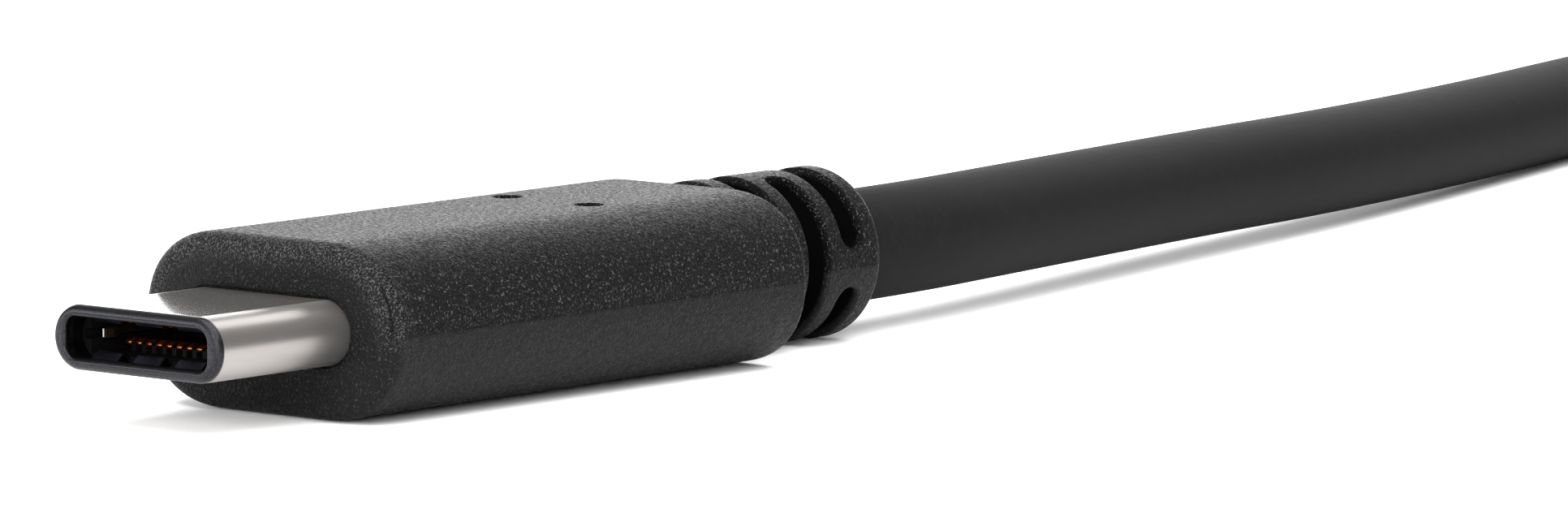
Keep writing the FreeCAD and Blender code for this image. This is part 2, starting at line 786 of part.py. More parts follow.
def a_grip():
    """Socket grip with its strain relief, hollow round the socket, its cover and the cable's end."""
    body = grip_block(a_grip_front, a_grip_rear, a_grip_width, a_grip_height,
                      a_grip_flat, a_grip_corner, a_grip_crown)
    body = body.fuse(strain_relief(a_grip_rear)).removeSplitter()
    shell_room = rounded_bar(0, socket_length, socket_outer_width + 2 * fit_gap,
                             socket_outer_height + 2 * fit_gap, socket_corner)
    cover_width = socket_outer_width + 2 * (2 * fit_gap + cover_wall)
    cover_height = socket_outer_height + 2 * (2 * fit_gap + cover_wall)
    cover_room = rounded_bar(socket_length - cover_lap - fit_gap, cover_rear + fit_gap, cover_width,
                             cover_height, socket_corner + cover_wall)
    return body.cut([shell_room, cover_room] + cable_bore(cover_rear, a_ferrule_start, a_relief_end))


def a_end():
    """All pieces of the socket end, by name, in the socket's own frame."""
    wide = group([wide_contact(y) for y in (-wide_contact_outer, -wide_contact_inner,
                                            wide_contact_inner, wide_contact_outer)])
    middle = (narrow_contact_count - 1) / 2
    narrow = group([narrow_contact((i - middle) * narrow_contact_pitch) for i in range(narrow_contact_count)])
    below_wide = tongue_bottom + wide_contact_rise - wide_contact_sheet - socket_solder
    above_narrow = tongue_top - narrow_lead_depth + narrow_contact_sheet / 2 + socket_solder
    land_x = socket_base_rear + wire_pocket_play
    wires = wire_set("a_", a_jacket_start, land_x, above_narrow, below_wide, socket_wire_spread)
    parts = {
        "a_shell": a_shell(),
        "a_insulator": a_insulator([wide, narrow]),
        "a_wide_contacts": wide,
        "a_narrow_contacts": narrow,
        "a_rear_cover": a_rear_cover(),
    }
    parts.update(wires)
    parts.update(cable_end_parts("a_", a_jacket_start, a_ferrule_start, a_relief_end))
    mould = rounded_bar(socket_length + fit_gap, cover_rear - cover_wall - fit_gap, socket_outer_width,
                        socket_outer_height, socket_corner)
    inside = [wide, narrow, rod(a_jacket_start, cover_rear, cable_radius + fit_gap)]
    inside.append(wire_pocket(land_x, a_jacket_start, socket_wire_spread, above_narrow, below_wide))
    parts["a_inner_mould"] = mould.cut(inside)
    parts["a_grip"] = a_grip()
    return parts


def main():
    """Build both ends and the lead, set them in the common frame and write one file for each piece."""
    os.makedirs("parts", exist_ok=True)
    plug_place = FreeCAD.Placement(Vec(plug_tip_x, 0, c_grip_height / 2), FreeCAD.Rotation())
    end = Vec(*lead_route[-1])
    socket_place = FreeCAD.Placement(Vec(end.x + a_relief_end, end.y, a_grip_height / 2),
                                     FreeCAD.Rotation(UP, 180))
    nodes = {}
    for place, parts in ((plug_place, c_end()), (socket_place, a_end())):
        for name, shape in parts.items():
            moved = shape.copy()
            moved.Placement = place.multiply(moved.Placement)
            nodes[name] = moved
    jacket, length, radii = round_tube(lead_route, cable_radius)
    nodes["cable_jacket"] = jacket
    section_volume = math.pi * cable_radius ** 2 * length
    print("lead length %.2f, volume over section times length %.5f" % (length, jacket.Volume / section_volume))
    print("lead radii", " ".join("%.0f" % r for r in radii))
    for name, shape in sorted(nodes.items()):
        shape.exportStep("parts/" + name + ".step")
        print("%-22s solids %2d valid %s volume %9.3f" % (name, len(shape.Solids), shape.isValid(), shape.Volume))


main()
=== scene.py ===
"""Looks of a short adapter lead: a small reversible plug, a round cable and a wide socket.

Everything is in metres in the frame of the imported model: the resting surface is z = 0, the plug points
towards -X and the lead runs towards +X. Sizes are written in millimetres and turned into metres once.
"""

import json
import logging
import math
from collections.abc import Callable
from dataclasses import dataclass, field
from enum import Enum
from functools import cached_property

import bpy
import numpy as np
from bpy.types import Material, Node, NodeSocket, Object
from mathutils import Matrix, Vector


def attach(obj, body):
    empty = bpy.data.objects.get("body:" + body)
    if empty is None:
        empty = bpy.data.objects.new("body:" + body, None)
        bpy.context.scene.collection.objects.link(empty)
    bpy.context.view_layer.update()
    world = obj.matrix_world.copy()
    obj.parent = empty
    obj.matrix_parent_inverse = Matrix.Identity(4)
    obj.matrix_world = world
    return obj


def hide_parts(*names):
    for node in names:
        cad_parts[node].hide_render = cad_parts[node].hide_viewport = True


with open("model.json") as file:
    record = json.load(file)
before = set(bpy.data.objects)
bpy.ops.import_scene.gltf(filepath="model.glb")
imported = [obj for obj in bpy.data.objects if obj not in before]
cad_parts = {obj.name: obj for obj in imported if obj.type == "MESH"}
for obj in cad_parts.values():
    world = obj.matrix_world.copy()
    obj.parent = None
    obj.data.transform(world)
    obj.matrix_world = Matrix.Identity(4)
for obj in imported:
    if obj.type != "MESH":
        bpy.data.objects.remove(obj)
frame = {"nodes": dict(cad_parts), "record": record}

log = logging.getLogger("lead")
MM = 0.001
BODY = "root"
HOLLOW = "hollow"
RIM = "rim"
PARTING = "parting"


# Shader expressions


def operator(operation: str, turned: bool = False) -> Callable[["Value", "Value | float"], "Value"]:
    """Makes a method of two operands.

    Args:
        operation: Blender's name of the operation.
        turned: whether the other operand comes first, as in a reflected form.

    Returns:
        A method that adds one Math node and gives its result.
    """
    def method(self: "Value", other: "Value | float") -> "Value":
        """Puts the operation on this value and the other."""
        return self.math(operation, *((other, self) if turned else (self, other)))

    return method


class Value:
    """A number that changes over a surface: an output socket with Python's operators."""

    def __init__(self, graph: "Graph", socket: NodeSocket) -> None:
        """Keeps the socket and the graph that it belongs to."""
        self.graph = graph
        self.socket = socket

    def math(self, operation: str, *terms: "Value | float") -> "Value":
        """The result of one Math node with these operands."""
        node = self.graph.node("ShaderNodeMath", {"operation": operation}, dict(enumerate(terms)))
        return Value(self.graph, node.outputs[0])

    __add__ = __radd__ = operator("ADD")
    __sub__ = operator("SUBTRACT")
    __rsub__ = operator("SUBTRACT", turned=True)
    __mul__ = __rmul__ = operator("MULTIPLY")
    __pow__ = operator("POWER")
    higher_of = operator("MAXIMUM")

    def __abs__(self) -> "Value":
        """Size without sign."""
        return self.math("ABSOLUTE", self)

    def ramp(self, low: float, high: float) -> "Value":
        """Smooth step.

        Args:
            low: the value at which the result is 0.
            high: the value at which the result is 1.

        Returns:
            A value from 0 to 1 that rises smoothly between the two.
        """
        rising = float(low < high)
        limits = {"Value": self, "From Min": min(low, high), "From Max": max(low, high),
                  "To Min": 1.0 - rising, "To Max": rising}
        node = self.graph.node("ShaderNodeMapRange", {"interpolation_type": "SMOOTHSTEP"}, limits)
        return Value(self.graph, node.outputs["Result"])


Colour = tuple[float, float, float]
Place = tuple[float, float, float]
Pair = tuple[float, float]
Four = tuple[float, float, float, float]
Tone = NodeSocket | Colour
BLACK: Colour = (0.0, 0.0, 0.0)
# Painted shade: the colour that deep hollows are painted.
PIT_SHADE: Colour = (0.0012, 0.0012, 0.0012)
# Octaves of a noise and the weight of the finer ones
MARKS: Pair = (2.0, 0.6)
CLOUDS: Pair = (3.0, 0.6)
# The plug's tip in millimetres, and the height of its axis in metres
PLUG_TIP: Place = (-18.50, 0.0, 3.30)
PLUG_AXIS = PLUG_TIP[2] * MM


def opaque(tone: Tone) -> NodeSocket | Four:
    """A colour with full alpha, or a socket as it is."""
    return (*tone, 1.0) if isinstance(tone, tuple) else tone


def times(colour: Colour, factor: float) -> Colour:
    """A colour made lighter or darker."""
    return tuple(factor * part for part in colour)


def eased(mask: Value, share: float) -> Value:
    """1 where the mask is 0, and share where it is 1."""
    return 1.0 - mask * (1.0 - share)


class Graph:
    """One material's nodes."""

    def __init__(self, name: str) -> None:
        """Makes an empty material of that name."""
        self.material = bpy.data.materials.new(name)
        self.material.use_nodes = True
        self.tree = self.material.node_tree
        self.tree.nodes.clear()
        self.place = self.node("ShaderNodeTexCoord").outputs["Object"]
        axes = self.node("ShaderNodeSeparateXYZ", {}, {0: self.place})
        self.x, self.y, self.z = (Value(self, axes.outputs[i]) for i in range(3))

    def node(self, kind: str, settings: dict | None = None, inputs: dict | None = None) -> Node:
        """Adds any node.

        Args:
            kind: the node's type.
            settings: attributes that are set before its sockets.
            inputs: values or links by socket name or number.

        Returns:
            The new node.
        """
        made = self.tree.nodes.new(kind)
        for name, value in (settings or {}).items():
            setattr(made, name, value)
        for key, value in (inputs or {}).items():
            source = value.socket if isinstance(value, Value) else value
            if isinstance(source, NodeSocket):
                self.tree.links.new(source, made.inputs[key])
            else:
                made.inputs[key].default_value = value
        return made

    def noise(self, size_mm: float, detail: float = 2.0, rough: float = 0.5,
              stretch: Place = (1, 1, 1)) -> Value:
        """Soft noise.

        Args:
            size_mm: the width of its blots.
            detail: its octaves.
            rough: the weight of the finer octaves.
            stretch: how far the blots are drawn out along each axis.

        Returns:
            A value around 0.5.
        """
        rate = 1.0 / (size_mm * MM)
        scale = tuple(rate / s for s in stretch)
        place = self.node("ShaderNodeVectorMath", {"operation": "MULTIPLY"}, {0: self.place, 1: scale})
        inputs = {"Vector": place.outputs[0], "Scale": 1.0, "Detail": detail, "Roughness": rough}
        return Value(self, self.node("ShaderNodeTexNoise", {}, inputs).outputs[0])

    def attribute(self, name: str) -> Value:
        """A mark that the piece carries on its points."""
        return Value(self, self.node("ShaderNodeAttribute", {"attribute_name": name}).outputs["Fac"])

    def blend(self, share: Value | float, first: Tone, second: Tone) -> NodeSocket:
        """A colour between two: first where share is 0, second where it is 1."""
        inputs = {0: share, 6: opaque(first), 7: opaque(second)}
        return self.node("ShaderNodeMix", {"data_type": "RGBA"}, inputs).outputs[2]

    def relief(self, height: Value, depth_mm: float) -> NodeSocket:
        """A normal from a height of 0 to 1 that stands for depth_mm."""
        inputs = {"Height": height, "Distance": depth_mm * MM, "Strength": 1.0}
        return self.node("ShaderNodeBump", {}, inputs).outputs[0]

    def finish(self, colour: Tone, roughness: Value | float, metallic: Value | float = 0.0,
               normal: NodeSocket | None = None, shade: Value | None = None,
               shine: float = 0.5) -> Material:
        """Closes the graph with a Principled shader.

        Args:
            colour: the base colour, a socket or three numbers.
            roughness: one number or a value that changes over the surface.
            metallic: 1 for bare metal.
            normal: the bumped normal, if there is one.
            shade: 1 where the surface lies in a deep hollow and is painted black as shade.
            shine: the specular level, the same all over.

        Returns:
            The finished material.
        """
        inputs: dict = {"Base Color": opaque(colour), "Roughness": roughness, "Metallic": metallic,
                        "Specular IOR Level": shine}
        if normal is not None:
            inputs["Normal"] = normal
        shader = self.node("ShaderNodeBsdfPrincipled", {}, inputs).outputs[0]
        if shade is not None:
            # Painted shade: deep hollows take a black diffuse shader.
            black = self.node("ShaderNodeBsdfDiffuse", {}, {"Color": opaque(PIT_SHADE)}).outputs[0]
            shader = self.node("ShaderNodeMixShader", {}, {0: shade, 1: shader, 2: black}).outputs[0]
        self.node("ShaderNodeOutputMaterial", {}, {0: shader})
        return self.material


# Finishes


@dataclass(frozen=True)
class GrainedPlastic:
    """Black moulded plastic with the fine grain of a spark-eroded mould.

    The grain is plainer below the parting line and on the plug grip's front, and the plastic is lighter
    below the parting line. Its bright specks are partly grain tone and partly painted glints; the front
    face is painted lighter as light, glints are painted along the top of the front edge, and the crease and
    the sleeve's slots are painted dark as shade. Places on the piece are in metres, and bands of the marks
    that the piece carries are in millimetres.
    """

    name: str = "grained_plastic"
    base: Colour = (0.0006, 0.0006, 0.0007)
    # Colour of the bright specks: partly grain tone, partly painted glints.
    speck: Colour = (0.055, 0.055, 0.056)
    # Colour of the glints painted along the top of the front edge.
    glint: Colour = (0.060, 0.060, 0.063)
    grain_mm: float = 0.10
    grain_depth_mm: float = 0.28
    coarse_mm: float = 0.45
    coarse_height: float = 0.20
    lower_height: float = 0.30
    speckle_band: Pair = (0.58, 0.66)
    lower_speckle: float = 0.40
    lower_tone: float = 0.10
    front_speckle: float = 0.60
    # How far the front face is painted lighter, as light.
    front_tone: float = 0.11
    glint_mm: float = 0.07
    glint_band: Pair = (0.50, 0.68)
    roughness: float = 0.34
    coarse_roughness: float = 0.62
    lower_roughness: float = 0.03
    patch_mm: float = 0.16
    patch_band: Pair = (0.42, 0.58)
    shine: float = 0.055
    front_band: Pair = (-11.30 * MM, -11.00 * MM)
    below_band: Pair = (0.03, -0.03)
    line_band: Pair = (0.05, 0.015)
    line_height: float = 0.4
    crease_x: float = -11.52 * MM
    crease_bow: float = 3.02
    crease_out: Pair = (5.2 * MM, 5.6 * MM)
    crease_band: Pair = (0.05 * MM, 0.01 * MM)
    crease_top: Pair = (0.0, 0.3)
    crease_depth: float = 0.3
    crease_shade: float = 0.8
    pit_band: Pair = (0.12, 0.34)

    def material(self) -> Material:
        """Builds it: mottled grain with partly painted glints, a parting line, a crease behind the plug
        grip's front edge painted dark as shade, painted glints along that edge's top, the front face
        painted lighter, and the slots painted black as shade.

        The crease lies where x = crease_x + crease_bow y squared, above the parting line.
        """
        g = Graph(self.name)
        level = g.attribute(PARTING)
        rim = g.attribute(RIM)
        on_side = g.x.ramp(*self.front_band)
        on_front = 1.0 - on_side
        below = level.ramp(*self.below_band) * on_side
        fine = g.noise(self.grain_mm, *MARKS)
        coarse = g.noise(self.coarse_mm, 1.0)
        grain = fine * eased(below, self.lower_height) + coarse * self.coarse_height
        line = abs(level).ramp(*self.line_band) * on_side
        crease = abs(g.x - self.crease_x - g.y * g.y * self.crease_bow).ramp(*self.crease_band)
        crease = crease * abs(g.y).ramp(*self.crease_out) * level.ramp(*self.crease_top)
        height = grain + line * self.line_height - crease * self.crease_depth
        # Bright specks from the fine grain: partly grain tone, partly painted glints.
        speckle = fine.ramp(*self.speckle_band) * eased(below, self.lower_speckle)
        speckle = speckle * eased(on_front, self.front_speckle)
        # Lighter below the parting line, and the front face painted lighter as light.
        even = below * self.lower_tone + on_front * self.front_tone
        tint = g.blend(speckle.higher_of(even), self.base, self.speck)
        # Painted glints along the top of the front edge, placed by the rim mark.
        tint = g.blend(g.noise(self.glint_mm, 1.0).ramp(*self.glint_band) * rim, tint, self.glint)
        # The crease painted dark as shade.
        tint = g.blend(crease * rim.ramp(*self.crease_top) * self.crease_shade, tint, BLACK)
        patch = (g.noise(self.patch_mm, 2.0, 0.7) * 0.5 + fine * 0.5).ramp(*self.patch_band)
        rough = self.roughness + patch * (self.coarse_roughness - self.roughness)
        rough = rough + below * self.lower_roughness
        # The sleeve's slots are painted black as shade through the hollow mark.
        return g.finish(tint, rough, normal=g.relief(height, self.grain_depth_mm),
                        shade=g.attribute(HOLLOW).ramp(*self.pit_band), shine=self.shine)


@dataclass(frozen=True)
class JacketPlastic:
    """Smooth matte jacket of the cable."""

    name: str = "jacket_plastic"
    base: Colour = (0.0074, 0.0074, 0.0075)
    dust_tint: float = 1.25
    dust_mm: float = 0.5
    dust_band: Pair = (0.4, 0.8)
    dust_roughness: float = 0.12
    wave_mm: float = 1.6
    wave_height: float = 0.45
    matte_mm: float = 0.06
    matte_height: float = 0.20
    depth_mm: float = 0.04
    roughness: float = 0.62
    shine: float = 0.020

    def material(self) -> Material:
        """Builds it: faint long waves of the braid below and a very fine matte grain."""
        g = Graph(self.name)
        waves = g.noise(self.wave_mm, 2.0, 0.5, (2.5, 1, 1))
        matte = g.noise(self.matte_mm, 1.0)
        dust = g.noise(self.dust_mm, *CLOUDS)
        tint = g.blend(dust.ramp(*self.dust_band), self.base, times(self.base, self.dust_tint))
        normal = g.relief(waves * self.wave_height + matte * self.matte_height, self.depth_mm)
        rough = self.roughness + (dust - 0.5) * self.dust_roughness
        return g.finish(tint, rough, normal=normal, shine=self.shine)


@dataclass(frozen=True)
class PlatedMetal:
    """Plate over drawn strip."""

    name: str
    base: Colour
    roughness: float = 0.24
    streak_mm: float = 0.05
    depth_mm: float = 0.003
    streak_roughness: float = 0.08
    cloud_mm: float = 1.4
    cloud_tint: float = 0.88
    cloud_band: Pair = (0.3, 0.8)
    cloud_roughness: float = 0.10

    def material(self) -> Material:
        """Builds it: fine drawing marks along the strip, clouded roughness."""
        g = Graph(self.name)
        marks = g.noise(self.streak_mm, *MARKS, (6, 1, 1))
        cloud = g.noise(self.cloud_mm, *CLOUDS)
        tint = g.blend(cloud.ramp(*self.cloud_band), self.base, times(self.base, self.cloud_tint))
        rough = self.roughness + (cloud - 0.5) * self.cloud_roughness
        rough = rough + (marks - 0.5) * self.streak_roughness
        return g.finish(tint, rough, 1.0, g.relief(marks, self.depth_mm))


@dataclass(frozen=True)
class DrawnShell:
    """Nickel-plated plug shell, glossier on its flats and painted darker on its rounded sides as shade,
    with a dark, rougher nose and its inside painted dark as shade.
    """

    name: str = "drawn_shell"
    base: Colour = (0.37, 0.355, 0.34)
    # Darker copy of the plate for the rounded sides: painted shade.
    side: Colour = (0.222, 0.209, 0.199)
    # Dark colour of the nose, also painted on the inside as shade.
    nose: Colour = (0.0138, 0.0139, 0.0154)
    nose_band: Pair = (-18.24 * MM, -18.16 * MM)
    flat_half: float = 2.925 * MM
    outer_band: Pair = (1.08 * MM, 1.14 * MM)
    side_band: Pair = (0.15 * MM, 0.6 * MM)
    side_edge: float = 0.03 * MM
    flat_roughness: float = 0.11
    side_roughness: float = 0.31
    nose_roughness: float = 0.40
    plated: float = 0.86
    mark_mm: float = 0.06
    mark_height: float = 0.5
    depth_mm: float = 0.004
    cloud_mm: float = 1.2
    cloud_tint: float = 0.86
    cloud_band: Pair = (0.3, 0.8)
    cloud_roughness: float = 0.05
    satin_mm: float = 0.07
    satin_tint: float = 1.7
    satin_band: Pair = (0.3, 0.7)

    def material(self) -> Material:
        """Builds it: drawing marks along the tube, clouded gloss, painted shade on the rounded sides, and a
        dark, rougher, finely grained surface at the nose and, as painted shade, inside.

        A point is outside when its distance from the core, the segment between the two round sides'
        centres, is near half the shell's height.
        """
        g = Graph(self.name)
        marks = g.noise(self.mark_mm, *MARKS, (8, 1, 1))
        cloud = g.noise(self.cloud_mm, *CLOUDS)
        grain = g.noise(self.satin_mm, 1.0)
        past_flat = (abs(g.y) - self.flat_half).higher_of(0.0)
        from_core = (past_flat ** 2 + (g.z - PLUG_AXIS) ** 2) ** 0.5
        # behind is the plated outside; in_front is the nose, kept dark, and the inside, painted dark as
        # shade.
        behind = g.x.ramp(*self.nose_band) * from_core.ramp(*self.outer_band)
        in_front = 1.0 - behind
        plate = g.blend(cloud.ramp(*self.cloud_band), self.base, times(self.base, self.cloud_tint))
        dark_nose_and_inside_shade = g.blend(grain.ramp(*self.satin_band), self.nose, times(self.nose, self.satin_tint))
        # The rounded sides take the darker copy of the plate as painted shade.
        tone = g.blend(behind, dark_nose_and_inside_shade, g.blend(past_flat.ramp(*self.side_band), plate, self.side))
        gloss = past_flat.ramp(0.0, self.side_edge) * (self.side_roughness - self.flat_roughness)
        gloss = self.flat_roughness + gloss + (cloud - 0.5) * self.cloud_roughness
        rough = behind * gloss + in_front * self.nose_roughness
        height = marks * behind * self.mark_height + grain * in_front
        return g.finish(tone, rough, eased(behind, self.plated), g.relief(height, self.depth_mm))


@dataclass(frozen=True)
class SpringStrip:
    """Spring strip: painted darker as shade at the ground springs, painted lighter and browner at the
    latch, and with a painted highlight at its hooks' outer corners.
    """

    name: str = "spring_strip"
    dull: Colour = (0.065, 0.065, 0.085)
    latch: Colour = (0.11, 0.075, 0.05)
    rubbed: Colour = (0.95, 0.92, 0.86)
    latch_band: Pair = (0.30 * MM, 0.25 * MM)
    hook_along: Pair = (-16.75 * MM, -16.79 * MM)
    hook_across: Pair = (3.07 * MM, 3.11 * MM)
    roughness: float = 0.30
    latch_roughness: float = 0.20
    mark_mm: float = 0.05
    depth_mm: float = 0.003

    def material(self) -> Material:
        """Builds it: a lighter, browner tone painted at the latch, the springs painted darker as shade, and
        a painted highlight at its hooks' outer corners.
        """
        g = Graph(self.name)
        marks = g.noise(self.mark_mm, *MARKS, (6, 1, 1))
        at_latch = abs(g.z - PLUG_AXIS).ramp(*self.latch_band)
        # worn marks the hooks' outer corners, where a bright highlight is painted as a white, not metallic,
        # colour.
        worn = g.x.ramp(*self.hook_along) * abs(g.y).ramp(*self.hook_across) * at_latch
        tone = g.blend(worn, g.blend(at_latch, self.dull, self.latch), self.rubbed)
        rough = self.roughness + at_latch * self.latch_roughness
        return g.finish(tone, rough, 1.0 - worn, g.relief(marks, self.depth_mm))


@dataclass(frozen=True)
class GiltContact:
    """Gold flash over copper alloy, redder and rougher where it is thin."""

    name: str = "gilt_contact"
    base: Colour = (0.36, 0.108, 0.028)
    worn: Colour = (0.27, 0.073, 0.018)
    roughness: float = 0.36
    worn_roughness: float = 0.12
    blotch_mm: float = 0.35
    blotch_band: Pair = (0.4, 0.7)
    mark_mm: float = 0.03
    depth_mm: float = 0.002

    def material(self) -> Material:
        """Builds it: blotches of thinner plate and fine rolling marks."""
        g = Graph(self.name)
        thin = g.noise(self.blotch_mm, 2.0).ramp(*self.blotch_band)
        marks = g.noise(self.mark_mm, 1.0, 0.5, (5, 1, 1))
        rough = self.roughness + thin * self.worn_roughness
        return g.finish(g.blend(thin, self.base, self.worn), rough, 1.0, g.relief(marks, self.depth_mm))


@dataclass(frozen=True)
class PlainPlastic:
    """Moulded or extruded plastic in one colour."""

    name: str
    base: Colour
    roughness: float = 0.45
    shine: float = 0.5
    mottle_mm: float = 0.3
    mottle_tints: Pair = (0.86, 1.10)
    mottle_roughness: float = 0.15
    grain_mm: float = 0.05
    depth_mm: float = 0.004

    def material(self) -> Material:
        """Builds it: slight mottle in colour and gloss and a fine bump."""
        g = Graph(self.name)
        mottle = g.noise(self.mottle_mm, *CLOUDS)
        fine = g.noise(self.grain_mm, 1.0)
        tint = g.blend(mottle, *(times(self.base, factor) for factor in self.mottle_tints))
        rough = self.roughness + (mottle - 0.5) * self.mottle_roughness
        return g.finish(tint, rough, normal=g.relief(fine, self.depth_mm), shine=self.shine)


@dataclass(frozen=True)
class BraidWire:
    """Tinned wires folded back in a criss-cross."""

    name: str = "braid_wire"
    groove: Colour = (0.30, 0.29, 0.27)
    ridge: Colour = (0.66, 0.65, 0.62)
    roughness: float = 0.36
    wire_mm: float = 0.12
    depth_mm: float = 0.05

    def material(self) -> Material:
        """Builds it: two sets of crossing ridges over tinned metal, painted darker between the ridges as
        shade.
        """
        g = Graph(self.name)
        lengthwise = g.noise(self.wire_mm, 1.0, 0.5, (4, 1, 1))
        ridges = lengthwise.higher_of(g.noise(self.wire_mm, 1.0, 0.5, (1, 4, 4)))
        # Painted shade: the metal is darker between the ridges.
        tint = g.blend(ridges, self.groove, self.ridge)
        return g.finish(tint, self.roughness, 1.0, g.relief(ridges, self.depth_mm))


class Slot(Enum):
    """The record's material slots, each with its finish."""

    shell_metal = DrawnShell()
    socket_metal = PlatedMetal("socket_plate", (0.66, 0.655, 0.645), 0.22)
    spring_metal = SpringStrip()
    shield_metal = PlatedMetal("tinned_strip", (0.60, 0.60, 0.58), 0.34, 0.08)
    ferrule_metal = PlatedMetal("ferrule_brass", (0.62, 0.48, 0.24), 0.30)
    braid_metal = BraidWire()
    contact_metal = GiltContact()
    grip_plastic = GrainedPlastic()
    cable_plastic = JacketPlastic()
    insulator_plastic = PlainPlastic("insulator_plastic", (0.0048, 0.0044, 0.0044), 0.55, 0.02)
    inner_plastic = PlainPlastic("inner_plastic", (0.66, 0.66, 0.60), 0.40)
    card_laminate = PlainPlastic("card_laminate", (0.02, 0.12, 0.05), 0.35)
    chip_ceramic = PlainPlastic("chip_ceramic", (0.25, 0.18, 0.12), 0.50)
    red_plastic = PlainPlastic("red_plastic", (0.50, 0.02, 0.02))
    black_plastic = PlainPlastic("black_plastic", (0.015, 0.015, 0.016))
    green_plastic = PlainPlastic("green_plastic", (0.02, 0.26, 0.06))
    white_plastic = PlainPlastic("white_plastic", (0.72, 0.72, 0.70))
    blue_plastic = PlainPlastic("blue_plastic", (0.03, 0.10, 0.42))
    yellow_plastic = PlainPlastic("yellow_plastic", (0.66, 0.50, 0.06))

    @cached_property
    def material(self) -> Material:
        """The slot's material, built on first use."""
        return self.value.material()

    def paint(self, piece: Object) -> None:
        """Gives a piece this finish all over."""
        piece.data.materials.clear()
        piece.data.materials.append(self.material)

    def dress(self, piece: Object) -> None:
        """Paints one of the scene's own pieces and body, and reports it."""
        self.paint(piece)
        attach(piece, BODY)
        log.info("%s: %s", piece.name, self.name)


# Surfaces


def smooth(value: np.ndarray) -> np.ndarray:
    """Cubic step: 3 t squared less 2 t cubed, with t held between 0 and 1."""
    t = np.clip(value, 0.0, 1.0)
    return t * t * (3.0 - 2.0 * t)


def quarter_angles(count: int) -> np.ndarray:
    """Angles from 0 to a quarter turn, both ends included."""
    return np.linspace(0.0, math.pi / 2, count)


def quarter_round(radius: float, count: int) -> list[Pair]:
    """A quarter circle as pairs, radius (1 - sin a) and radius (1 - cos a), for angles from 0 up."""
    return [(radius * (1 - math.sin(a)), radius * (1 - math.cos(a))) for a in quarter_angles(count)]


def row_at(x: float, ring: np.ndarray) -> np.ndarray:
    """An outline of points (y, z) set at a place along X."""
    return np.column_stack([np.full(len(ring), x), ring])


def ring_of(line: np.ndarray, count: int) -> np.ndarray:
    """A whole outline from one quarter, mirrored to the left and then downwards.

    Args:
        line: points (y, z) from the +Y axis to the +Z axis.
        count: how many points the outline gets, a multiple of 4.

    Returns:
        Points (y, z), equally spaced in each quarter, counter-clockwise from the +Y axis.
    """
    along = np.concatenate([[0.0], np.cumsum(np.hypot(*np.diff(line, axis=0).T))])
    wanted = np.linspace(0.0, along[-1], count // 4 + 1)[:-1]
    y, z = (np.interp(wanted, along, values) for values in line.T)
    left_y = np.concatenate([[0.0], -y[:0:-1]])
    left_z = np.concatenate([line[-1:, 1], z[:0:-1]])
    upper = np.stack([np.concatenate([y, left_y]), np.concatenate([z, left_z])], 1)
    return np.concatenate([upper, -upper])


def box_outline(half_width: float, half_height: float, corner: float, count: int) -> np.ndarray:
    """Rectangle with round corners: two straight runs and an arc in each quarter.

    Args:
        half_width: half its size along Y.
        half_height: half its size along Z.
        corner: the corners' radius.
        count: how many points, a multiple of 4.

    Returns:
        Points (y, z), equally spaced in each quarter.
    """
    turn = quarter_angles(33)
    centre = np.array([half_width - corner, half_height - corner])
    arc = centre + corner * np.column_stack([np.cos(turn), np.sin(turn)])
    line = np.concatenate([[[half_width, 0.0]], arc, [[0.0, half_height]]])
    return ring_of(line, count)


def grip_outline(half_width: float, half_height: float, half_flat: float, fullness: float,
                 count: int) -> np.ndarray:
    """Grip's section: a flat above and below and one full cubic curve in each quarter.

    Args:
        half_width: half its size along Y.
        half_height: half its size along Z.
        half_flat: half the width of the flat.
        fullness: how far the curve's handles reach towards the corner, as a share of the way.
        count: how many points, a multiple of 4.

    Returns:
        Points (y, z), equally spaced in each quarter.
    """
    t = np.linspace(0.0, 1.0, 65)[:, None]
    reach = half_width - half_flat
    handles = np.array([[half_width, 0.0], [half_width, fullness * half_height],
                        [half_flat + fullness * reach, half_height], [half_flat, half_height]])
    weights = (1 - t) ** 3, 3 * t * (1 - t) ** 2, 3 * t ** 2 * (1 - t), t ** 3
    curve = sum(w * h for w, h in zip(weights, handles))
    line = np.concatenate([curve, [[0.0, half_height]]])
    return ring_of(line, count)


def equal_angles(count: int) -> np.ndarray:
    """Angles at equal steps through a whole turn."""
    return np.arange(count) * 2 * math.pi / count


def circle_outline(radius: float | np.ndarray, count: int) -> np.ndarray:
    """Circle: the radius, one or one for each point, times the cosine and the sine of equal angles."""
    angle = equal_angles(count)
    return np.column_stack([radius * np.cos(angle), radius * np.sin(angle)])


def closed_band(points: np.ndarray) -> tuple[np.ndarray, np.ndarray]:
    """Quads over a grid that closes both ways, like a ring's skin.

    Args:
        points: places of shape (rows, columns, 3).

    Returns:
        The places as a list, and the corners of each quad. With rows that run towards +X on the outside
        and columns that turn from +Y to +Z, the faces point outwards.
    """
    rows, columns = points.shape[:2]
    i, j = np.meshgrid(np.arange(rows), np.arange(columns), indexing="ij")
    down, across = (i + 1) % rows, (j + 1) % columns
    corners = [row * columns + column for row, column in ((i, j), (i, across), (down, across), (down, j))]
    return points.reshape(-1, 3), np.stack(corners, -1).reshape(-1, 4)


def linked(name: str, data: bpy.types.ID) -> Object:
    """A new object with this data, linked to the scene."""
    made = bpy.data.objects.new(name, data)
    bpy.context.scene.collection.objects.link(made)
    return made


